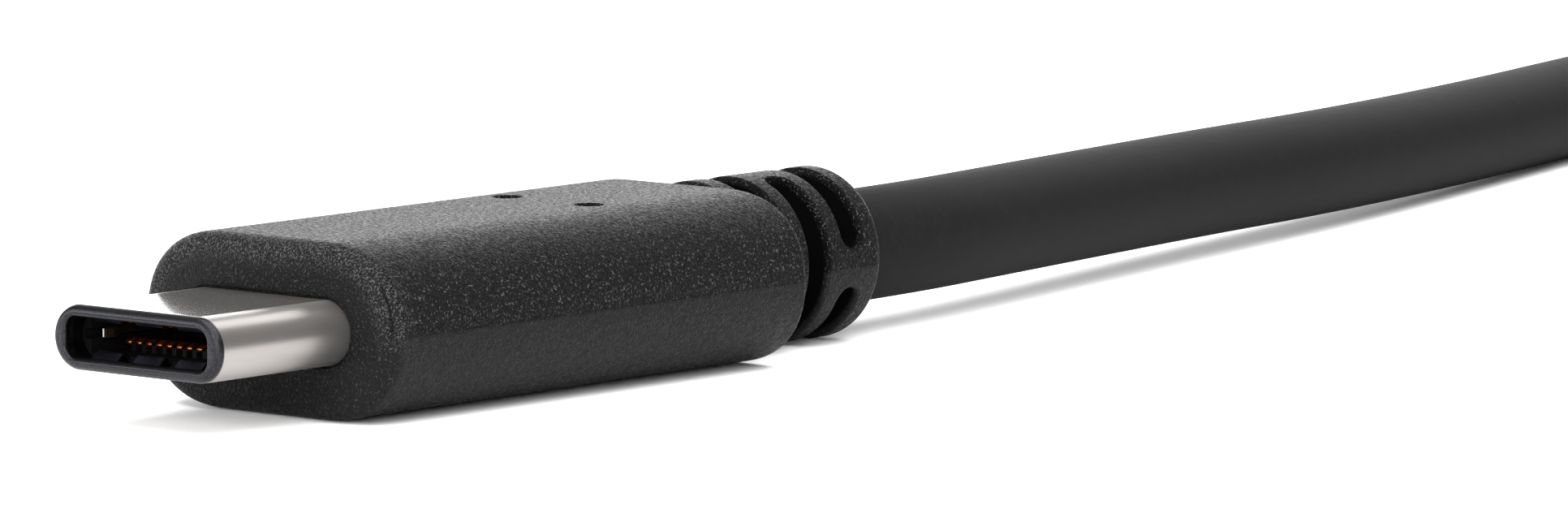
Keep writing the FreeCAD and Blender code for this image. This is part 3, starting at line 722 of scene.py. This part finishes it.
def mesh_piece(name: str, points: np.ndarray, quads: np.ndarray) -> Object:
    """A smooth-shaded object from arrays.

    Args:
        name: the piece's name.
        points: places in metres, in the row's frame.
        quads: four corners for each face.

    Returns:
        The new object, linked to the scene.
    """
    mesh = bpy.data.meshes.new(name)
    mesh.vertices.add(len(points))
    mesh.vertices.foreach_set("co", points.astype(np.float32).ravel())
    mesh.loops.add(quads.size)
    mesh.loops.foreach_set("vertex_index", quads.astype(np.int32).ravel())
    mesh.polygons.add(len(quads))
    mesh.polygons.foreach_set("loop_start", np.arange(0, quads.size, 4, dtype=np.int32))
    mesh.polygons.foreach_set("use_smooth", np.ones(len(quads), dtype=bool))
    mesh.update(calc_edges=True)
    mesh.validate()
    return linked(name, mesh)


# Pieces


@dataclass
class PlugShell:
    """Drawn stadium tube whose nose is rolled inwards."""

    width: float = 8.25
    height: float = 2.40
    length: float = 8.60
    wall: float = 0.28
    hair: float = 0.001
    nose_round: float = 0.30
    lip_round: float = 0.14
    lip_depth: float = 0.55
    lip_ease: float = 0.03
    rear_back: float = 0.05
    rear_inset: float = 0.04
    corner_back: float = 0.06
    corner_inset: float = 0.05
    mouth_width: float = 6.96
    mouth_height: float = 1.54
    mouth_corner: float = 0.46
    outer_places: tuple[float, ...] = (0.45, 1.0, 2.5, 4.0, 5.5, 7.0, 8.3)
    inner_places: tuple[float, ...] = (6.0, 3.0, 1.2)
    columns: int = 256

    def _section(self, inset: float) -> np.ndarray:
        """The outer outline moved inwards by inset: round sides with a hair of straight run."""
        half = self.height / 2 - inset
        return box_outline(self.width / 2 - inset, half, half - self.hair, self.columns)

    def _mouth(self, grown: float) -> np.ndarray:
        """The mouth's outline moved outwards by grown."""
        return box_outline(self.mouth_width / 2 + grown, self.mouth_height / 2 + grown,
                           self.mouth_corner + grown, self.columns)

    def rows(self) -> list[tuple[float, np.ndarray]]:
        """The profile as outlines at places along X.

        From the lip's inner edge over the rounded nose, back along the outside, round the rear edge,
        forward along the inside and up to the back of the lip. The nose is a quarter circle:
        x = r (1 - cos a), inset = r (1 - sin a).

        Returns:
            Pairs of X and outline, in order round the wall.
        """
        made = [(x, self._mouth(grown)) for x, grown in quarter_round(self.lip_round, 9)]
        front = self._section(self.nose_round)
        rim = self._mouth(self.lip_round)
        made += [(0.0, rim + (front - rim) * share) for share in (0.33, 0.67)]
        made += [(x, self._section(inset)) for inset, x in quarter_round(self.nose_round, 13)]
        near_rear = self.length - self.rear_back
        made += [(x, self._section(0.0)) for x in (*self.outer_places, near_rear)]
        insets = self.rear_inset, self.wall - self.rear_inset
        made += [(self.length, self._section(inset)) for inset in insets]
        inside = (near_rear, *self.inner_places, self.lip_depth + self.corner_back)
        made += [(x, self._section(self.wall)) for x in inside]
        lip = self.lip_depth
        made.append((lip, self._section(self.wall + self.corner_inset)))
        return made + [(lip, self._mouth(self.lip_ease)), (lip - self.lip_ease, self._mouth(0.0))]

    def build(self) -> Object:
        """Makes the shell, which stands for the plain CAD shell."""
        grid = np.array([row_at(x, ring) for x, ring in self.rows()])
        grid += PLUG_TIP
        piece = mesh_piece("plug_shell", *closed_band(grid * MM))
        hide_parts("c_shell")
        return piece


@dataclass
class ContactRow:
    """One row of bent contacts with rounded crests, seen through the mouth."""

    name: str
    node: str
    side: int
    count: int = 12
    pitch: float = 0.50
    width: float = 0.24
    sheet: float = 0.12
    crest_x: float = 3.00
    crest_half: float = 0.45
    crest_inner: float = 0.235
    crest_drop: float = 0.12
    base_inner: float = 0.605
    ramp: Pair = (3.15, 4.60)
    step: Pair = (7.70, 8.30)
    tail: Pair = (0.41, 10.40)

    def _centre_line(self) -> np.ndarray:
        """Points (x, distance from the axis): a round tip, a ramp, the body, a step and the tail."""
        turn = np.linspace(-1.0, 1.0, 11)
        crest_x = self.crest_x + self.crest_half * turn
        crest = np.column_stack([crest_x, self.crest_inner + self.crest_drop * turn ** 2])
        low, high = self.ramp
        ramp_x = np.linspace(low + self.crest_half, high, 7)
        start = self.crest_inner + self.crest_drop
        rise = (self.base_inner - start) * smooth((ramp_x - low) / (high - low))
        ramp = np.column_stack([ramp_x, start + rise])
        tail_inner, tail_end = self.tail
        step_start, step_end = self.step
        body = [(step_start, self.base_inner), (step_end, tail_inner), (tail_end, tail_inner)]
        return np.concatenate([crest, ramp, body])

    def build(self) -> Object:
        """Makes the row, which stands for the CAD row: each contact is a thick line with two flat sides."""
        line = self._centre_line()
        slope = np.gradient(line, axis=0)
        normal = np.column_stack([-slope[:, 1], slope[:, 0]]) / np.hypot(*slope.T)[:, None]
        loop = np.concatenate([line, (line + normal * self.sheet)[::-1]])
        size = len(loop)
        j = np.arange(size)
        k = (j + 1) % size
        a = np.arange(len(line) - 1)
        b = size - 1 - a
        skin = np.stack([k, j, size + j, size + k], 1)
        first_side = np.stack([a, a + 1, b - 1, b], 1)
        second_side = np.stack([b, b - 1, a + 1, a], 1) + size
        points = []
        for i in range(self.count):
            middle = (i - (self.count - 1) / 2) * self.pitch
            for edge in (-self.side, self.side):
                across = np.full(size, middle + edge * self.width / 2)
                points.append(np.column_stack([loop[:, 0], across, self.side * loop[:, 1]]))
        grid = np.concatenate(points) + PLUG_TIP
        faces = np.concatenate([skin, first_side, second_side])
        quads = np.concatenate([faces + i * 2 * size for i in range(self.count)])
        piece = mesh_piece(self.name, grid * MM, quads)
        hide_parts(self.node)
        return piece


@dataclass
class Relief:
    """Slotted sleeve behind a grip."""

    radius: float = 3.30
    length: float = 8.08
    neck_width: float = 0.55
    neck_depth: float = 0.45
    core_radius: float = 2.34
    slot_width: float = 1.12
    slot_pitch: float = 2.05
    slots: int = 3
    last_ring: float = 1.20
    bridge: float = 1.60
    edge: float = 0.16
    end_round: float = 0.45
    bore: float = 2.21
    bridge_drop: float = 0.28
    nick: float = 0.004
    neck_ease: float = 0.02

    def slot_places(self) -> list[tuple[float, bool]]:
        """Middle of each slot from the grip's rear, and whether it opens to the sides."""
        last = self.length - self.last_ring - self.slot_width / 2
        return [(last - i * self.slot_pitch, i % 2 == 1) for i in range(self.slots)]

    def stations(self) -> np.ndarray:
        """Places along the sleeve where rows are needed, dense at every edge."""
        half = self.slot_width / 2 - self.nick
        edge = self.edge * (1 - np.cos(quarter_angles(6)))
        neck = self.neck_width
        made = [np.array([self.neck_ease, neck - self.neck_ease, neck]), neck + edge]
        for middle, _ in self.slot_places():
            across = half * np.sin(np.linspace(-1, 1, 17) * math.pi / 2)
            beyond = half + 2 * self.nick + edge
            made += [middle + across, middle - beyond, middle + beyond]
        made.append(self.length - self.end_round * (1 - np.sin(quarter_angles(9))))
        places = np.unique(np.round(np.concatenate(made), 4))
        return places[(places >= 0.0) & (places <= self.length)]

    @staticmethod
    def _rounding(radius: float, left: np.ndarray) -> np.ndarray:
        """How much a quarter round takes off: radius less the root of radius squared less left squared."""
        inside = np.clip(left, 0.0, radius)
        return radius - np.sqrt(np.maximum(radius ** 2 - inside ** 2, 0.0))

    def radii(self, x: np.ndarray, angle: np.ndarray) -> np.ndarray:
        """Radius over the sleeve.

        A turned profile, a neck and then a cylinder with rounded edges, less the slots: each slot is a
        lengthwise slab whose ends are half circles, its depth taken from the distance to that outline.

        Args:
            x: places from the grip's rear.
            angle: angles round the axis.

        Returns:
            Radii of shape (places, angles).
        """
        start = x - self.neck_width
        body = self.radius - self._rounding(self.edge, self.edge - start)
        body -= self._rounding(self.end_round, x - (self.length - self.end_round))
        body = np.where(start < 0.0, self.radius - self.neck_depth, body)[:, None] + 0.0 * angle
        half = self.slot_width / 2
        for middle, sideways in self.slot_places():
            side = np.cos(angle) if sideways else np.sin(angle) + self.bridge_drop / self.radius
            past = np.maximum(self.bridge / 2 + half - self.radius * np.abs(side), 0.0)
            away = np.hypot(x[:, None] - middle, past[None, :]) - half
            lip = self.radius - self._rounding(self.edge, self.edge - away)
            body = np.minimum(body, np.where(away <= self.nick / 4, self.core_radius, lip))
        return body


@dataclass
class Grip:
    """Moulded grip and strain relief in one skin, with the hollow that holds the connector."""

    name: str
    node: str
    front: float
    rear: float
    width: float
    height: float
    flat: float
    crown: float
    cavity: list[Four]
    holes: list[Pair] = field(default_factory=list)
    hole_radius: float = 0.50
    hole_depth: float = 0.85
    hole_edge: float = 0.07
    hole_wall: float = 0.10
    hole_start: float = 0.06
    hole_dip: float = 0.04
    hole_span: float = 0.72
    flat_band: float = 0.05
    fullness: float = 0.688
    front_round: float = 0.62
    rear_round: float = 0.25
    mouth_back: float = 0.06
    mouth_rim: float = 0.05
    bore_ease: float = 0.06
    joint: float = 0.01
    first_places: tuple[float, ...] = (0.6, 1.4)
    crown_fade: float = 3.0
    last_place: float = 0.8
    rim_width: float = 0.6
    rim_low: float = -1.2
    rim_rise: float = 2.0
    rim_behind: float = 0.45
    relief: Relief = field(default_factory=Relief)
    columns: int = 384

    def _section(self, inset: float) -> np.ndarray:
        """The grip's outline moved inwards by inset."""
        return grip_outline(self.width / 2 - inset, self.height / 2 - inset, self.flat / 2, self.fullness,
                            self.columns)

    def _box(self, step: Four) -> np.ndarray:
        """The outline of one step of the cavity: its width, height and corner."""
        _, width, height, corner = step
        return box_outline(width / 2, height / 2, corner, self.columns)

    def _crown_at(self, y: np.ndarray) -> np.ndarray:
        """How far the front falls back: the crown times (y / half width) squared."""
        return self.crown * (y / (self.width / 2)) ** 2

    def _crowned(self, x: float, ring: np.ndarray, share: float = 1.0) -> np.ndarray:
        """One row of the front, with a share of the crown."""
        return np.column_stack([x + share * self._crown_at(ring[:, 0]), ring])

    def _front_rows(self) -> list[np.ndarray]:
        """Front face from the mouth to the outer edge, and the edge's quarter circle."""
        mouth = self._box(self.cavity[0])
        inner = self._section(self.front_round)
        rim = mouth + self.mouth_rim * mouth / np.hypot(*mouth.T)[:, None]
        rows = [self._crowned(self.front + self.mouth_back, mouth)]
        rows += [self._crowned(self.front, rim + (inner - rim) * share) for share in np.arange(5) / 5]
        rows += [self._crowned(self.front + back, self._section(inset))
                 for inset, back in quarter_round(self.front_round, 11)]
        return rows

    def _side_rows(self) -> list[np.ndarray]:
        """The long sides, with close rows where the blind holes are, and the rear edge."""
        start = self.front + self.front_round
        places = [start + place for place in self.first_places]
        for hole_x in sorted({x for x, _ in self.holes}):
            places += list(hole_x + np.linspace(-self.hole_span, self.hole_span, 19))
        places += list(np.linspace(start + self.crown_fade, self.rear - self.last_place, 9))
        outline = self._section(0.0)
        rows = []
        for x in sorted(set(round(place, 4) for place in places)):
            fade = 1.0 - float(smooth(np.array((x - start) / self.crown_fade)))
            rows.append(self._crowned(x, self._pierced(x, outline), fade))
        return rows + [row_at(self.rear - left, self._section(inset))
                       for left, inset in quarter_round(self.rear_round, 9)]

    def _pierced(self, x: float, outline: np.ndarray) -> np.ndarray:
        """The outline with the blind holes sunk into its flats: full depth inside each circle."""
        made = outline.copy()
        on_flat = np.abs(outline[:, 1]) > self.height / 2 - self.flat_band
        side = np.where(on_flat, np.sign(outline[:, 1]), 0.0)
        for hole_x, hole_y in self.holes:
            away = np.hypot(x - hole_x, outline[:, 0] - hole_y) - self.hole_radius
            depth = self.hole_depth * (1.0 - smooth((away + self.hole_start) / self.hole_wall))
            depth += self.hole_dip * (1.0 - smooth(away / self.hole_edge))
            made[:, 1] -= side * np.minimum(depth, self.hole_depth)
        return made

    def _relief_rows(self) -> list[np.ndarray]:
        """The slotted sleeve: circles whose radius comes from the relief's own function."""
        stations = self.relief.stations()
        radii = self.relief.radii(stations, equal_angles(self.columns))
        return [row_at(self.rear + s, circle_outline(r, self.columns)) for s, r in zip(stations, radii)]

    def _inner_rows(self) -> list[np.ndarray]:
        """Back through the bore and the cavity to the mouth."""
        end = self.rear + self.relief.length
        bore = self.relief.bore
        ease = self.bore_ease
        ways = ((end, bore + ease), (end - ease, bore), (self.cavity[-1][0] + self.joint, bore))
        rows = [row_at(x, circle_outline(radius, self.columns)) for x, radius in ways]
        for step, after in zip(self.cavity[::-1], self.cavity[-2::-1]):
            rows += [row_at(x, self._box(step)) for x in (step[0], after[0])]
        rows.append(row_at(self.cavity[0][0] - self.joint, self._box(self.cavity[0])))
        return rows

    def _hollow(self, points: np.ndarray) -> np.ndarray:
        """How far each point lies below the sleeve's surface, in millimetres, and 0 off the sleeve: the
        slots' deep points are painted black as shade.
        """
        along = points[:, 0] - self.rear
        on_sleeve = (along > self.relief.neck_width) & (along < self.relief.length - self.relief.end_round)
        return np.where(on_sleeve, self.relief.radius - np.hypot(points[:, 1], points[:, 2]), 0.0)

    def _parting(self, points: np.ndarray) -> np.ndarray:
        """How far each point lies above the parting line, in millimetres: it is lower on the sleeve."""
        return points[:, 2] + np.where(points[:, 0] > self.rear, self.relief.bridge_drop, 0.0)

    def _rim(self, grid: np.ndarray) -> np.ndarray:
        """How near each point is to the upper part of the front edge: 1 there, 0 elsewhere. Glints are
        painted there, and the crease's painted shade is kept to it.
        """
        x, y, z = np.moveaxis(grid, -1, 0)
        behind_front = x - self.front - self._crown_at(y)
        inward = np.hypot(*self._section(self.front_round).T) - np.hypot(y, z)
        upper = smooth((z - self.rim_low) / self.rim_rise)
        near = 1.0 - smooth(np.maximum(inward, 0.0) / self.rim_width)
        before = 1.0 - smooth(behind_front / self.front_round - self.rim_behind)
        return (near * upper * before).reshape(-1)

    def build(self, place: Matrix) -> Object:
        """Makes the grip and sets it in the row's frame.

        Args:
            place: where its own frame lies, in millimetres.

        Returns:
            The piece, which stands for the CAD grip.
        """
        grid = np.array(self._front_rows() + self._side_rows() + self._relief_rows() + self._inner_rows())
        points, quads = closed_band(grid)
        turn = np.array(place)
        piece = mesh_piece(self.name, (points @ turn[:3, :3].T + turn[:3, 3]) * MM, quads)
        # The hollow mark drives the slots' painted shade; the rim mark drives the front edge's painted
        # glints and crease shade.
        marks = {HOLLOW: self._hollow(points), RIM: self._rim(grid), PARTING: self._parting(points)}
        for mark, values in marks.items():
            layer = piece.data.attributes.new(mark, "FLOAT", "POINT")
            layer.data.foreach_set("value", values.astype(np.float32))
        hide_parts(self.node)
        return piece


@dataclass
class Lead:
    """Round cable between the two ends, on a smooth curve with the route's points as its controls."""

    diameter: float = 4.36
    length: float = 149.4
    route: list[Place] = field(default_factory=lambda: [
        (19.4, 0.0, 3.30), (24.2, 0.0, 3.30), (33.6, 1.9, 3.19), (49.5, 5.5, 2.90),
        (62.5, 8.3, 2.60), (78.0, 12.5, 2.29), (92.5, 16.7, 2.15), (109.0, 20.4, 2.12),
        (126.0, 22.2, 2.15), (141.5, 22.9, 2.90), (156.5, 23.0, 4.20), (166.2, 23.0, 4.20),
    ])

    def build(self) -> Object:
        """Makes the cable, which stands for the CAD tube."""
        curve = bpy.data.curves.new("cable", "CURVE")
        curve.dimensions = "3D"
        curve.bevel_depth = self.diameter / 2 * MM
        curve.bevel_resolution = 14
        curve.resolution_u = 20
        curve.use_fill_caps = True
        spline = curve.splines.new("NURBS")
        spline.points.add(len(self.route) - 1)
        places = np.column_stack([np.array(self.route) * MM, np.ones(len(self.route))])
        spline.points.foreach_set("co", places.ravel())
        spline.order_u = 3
        spline.use_endpoint_u = True
        piece = linked("cable", curve)
        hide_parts("cable_jacket")
        return piece


@dataclass
class PlugEnd:
    """Reversible plug with its grip."""

    shell: PlugShell = field(default_factory=PlugShell)
    grip: Grip = field(default_factory=lambda: Grip(
        name="plug_grip", node="c_grip", front=6.85, rear=30.00,
        width=12.60, height=6.52, flat=5.20, crown=0.12, fullness=0.62,
        cavity=[(7.00, 8.28, 2.60, 1.29), (7.16, 8.26, 2.41, 1.20), (7.28, 8.26, 2.41, 1.20),
                (7.29, 9.74, 4.84, 0.05), (17.62, 9.74, 4.84, 0.05), (17.98, 4.26, 4.26, 2.12),
                (17.99, 5.30, 5.30, 2.64), (21.02, 5.30, 5.30, 2.64)],
        holes=[(22.40, -2.04), (22.40, 2.04)]))

    def build(self) -> None:
        """Makes and paints the shell, the grip and the two rows of contacts."""
        Slot.shell_metal.dress(self.shell.build())
        Slot.grip_plastic.dress(self.grip.build(Matrix.Translation(PLUG_TIP)))
        for name, side in (("lower_contacts", -1), ("upper_contacts", 1)):
            Slot.contact_metal.dress(ContactRow(name, "c_" + name, side).build())


@dataclass
class SocketEnd:
    """Wide socket with its grip, turned to face away from the plug."""

    mouth: Place = (201.10, 23.00, 4.20)
    grip: Grip = field(default_factory=lambda: Grip(
        name="socket_grip", node="a_grip", front=0.35, rear=27.00,
        width=16.20, height=8.40, flat=7.60, crown=0.20,
        cavity=[(0.60, 13.14, 5.76, 0.70), (15.88, 13.14, 5.76, 0.70), (15.89, 13.58, 6.20, 0.90),
                (23.62, 13.58, 6.20, 0.90), (23.98, 4.26, 4.26, 2.12), (23.99, 5.30, 5.30, 2.64),
                (27.02, 5.30, 5.30, 2.64)]))

    def build(self) -> None:
        """Makes and paints the grip."""
        turned = Matrix.Translation(self.mouth) @ Matrix.Rotation(math.pi, 4, "Z")
        Slot.grip_plastic.dress(self.grip.build(turned))


# Studio


def aimed(name: str, data: bpy.types.ID, place: Vector, way: Vector) -> Object:
    """A lamp or a camera at a place, facing a way."""
    made = linked(name, data)
    made.location = place
    made.rotation_mode = "QUATERNION"
    made.rotation_quaternion = way.to_track_quat("-Z", "Y")
    return made


@dataclass(frozen=True)
class Lamp:
    """One rectangular soft light: places and sizes in metres, power in watts."""

    name: str
    place: Place
    aim: Place
    size: Pair
    power: float

    def build(self) -> None:
        """Hangs the lamp so that it faces its aim."""
        data = bpy.data.lights.new(self.name, "AREA")
        data.shape = "RECTANGLE"
        data.size, data.size_y = self.size
        data.energy = self.power
        place = Vector(self.place)
        aimed(self.name, data, place, Vector(self.aim) - place)


@dataclass
class Studio:
    """Camera, floor and lights."""

    heading_deg: float = 40.2
    down_deg: float = 6.7
    distance: float = 400.0
    tip_pixel: Pair = (165.7, 424.2)
    image: Pair = (1932.0, 633.0)
    pixels_per_mm: float = 34.4
    sensor: float = 36.0
    clip: Pair = (0.01, 10.0)
    paper: tuple[Colour, Colour] = ((0.90, 0.90, 0.90), (0.93, 0.93, 0.93))
    paper_mm: float = 40.0
    paper_roughness: float = 0.9
    floor_half: float = 3.0
    room_light: float = 0.30
    lamps: tuple[Lamp, ...] = (
        Lamp("top", (-0.06, -0.09, 0.42), (0.03, 0.0, 0.0), (0.6, 0.6), 8.0),
        Lamp("back", (0.50, 0.42, 0.16), (0.0, 0.0, 0.0), (0.8, 0.30), 3.4),
        Lamp("front", (-0.42, -0.23, 0.15), (0.03, 0.0, 0.0), (0.5, 0.2), 3.0),
        Lamp("left", (-0.34, 0.30, 0.10), (0.0, 0.0, 0.0), (0.3, 0.2), 1.8),
        Lamp("far", (0.42, 0.04, 0.36), (0.0, 0.0, 0.0), (0.24, 0.24), 0.65),
    )

    def camera(self) -> None:
        """Sets the camera so that the plug's tip falls on its pixel at the photograph's scale."""
        heading, down = math.radians(self.heading_deg), math.radians(self.down_deg)
        level = Vector((math.cos(heading), math.sin(heading), 0.0))
        forward = math.cos(down) * level - math.sin(down) * Vector((0.0, 0.0, 1.0))
        right = Vector((math.sin(heading), -math.cos(heading), 0.0))
        up = right.cross(forward)
        across = (self.tip_pixel[0] - self.image[0] / 2) / self.pixels_per_mm
        above = (self.image[1] / 2 - self.tip_pixel[1]) / self.pixels_per_mm
        place = Vector(PLUG_TIP) - across * right - above * up - self.distance * forward
        data = bpy.data.cameras.new("view")
        data.sensor_width = self.sensor
        data.lens = self.pixels_per_mm * self.distance / self.image[0] * self.sensor
        data.clip_start, data.clip_end = self.clip
        bpy.context.scene.camera = aimed("view", data, place * MM, forward)

    def floor(self) -> None:
        """A plain pale floor."""
        half = self.floor_half
        corners = np.array([(-half, -half, 0), (half, -half, 0), (half, half, 0), (-half, half, 0)], float)
        floor = mesh_piece("floor", corners, np.array([[0, 1, 2, 3]]))
        graph = Graph("floor_paper")
        tone = graph.blend(graph.noise(self.paper_mm), *self.paper)
        floor.data.materials.append(graph.finish(tone, self.paper_roughness))

    def build(self) -> None:
        """Sets up the whole studio."""
        self.camera()
        self.floor()
        world = bpy.data.worlds.new("room")
        world.use_nodes = True
        background = world.node_tree.nodes["Background"]
        background.inputs["Color"].default_value = (1.0, 1.0, 1.0, 1.0)
        background.inputs["Strength"].default_value = self.room_light
        bpy.context.scene.world = world
        for lamp in self.lamps:
            lamp.build()
        bpy.context.scene.view_settings.view_transform = "Standard"


def dress_nodes() -> None:
    """Gives every shown CAD node the finish of its slot in the record."""
    slots = {entry["node"]: entry["material_slot"] for entry in frame["record"]["subparts"]}
    for name, node in frame["nodes"].items():
        if not node.hide_render:
            Slot[slots[name]].paint(node)


def main() -> None:
    """Builds the lead from the plug to the socket and then the studio."""
    logging.basicConfig(level=logging.INFO, format="%(name)s: %(message)s")
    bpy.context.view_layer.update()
    PlugEnd().build()
    SocketEnd().build()
    Slot.cable_plastic.dress(Lead().build())
    dress_nodes()
    Studio().build()


if __name__ == "__main__":
    main()
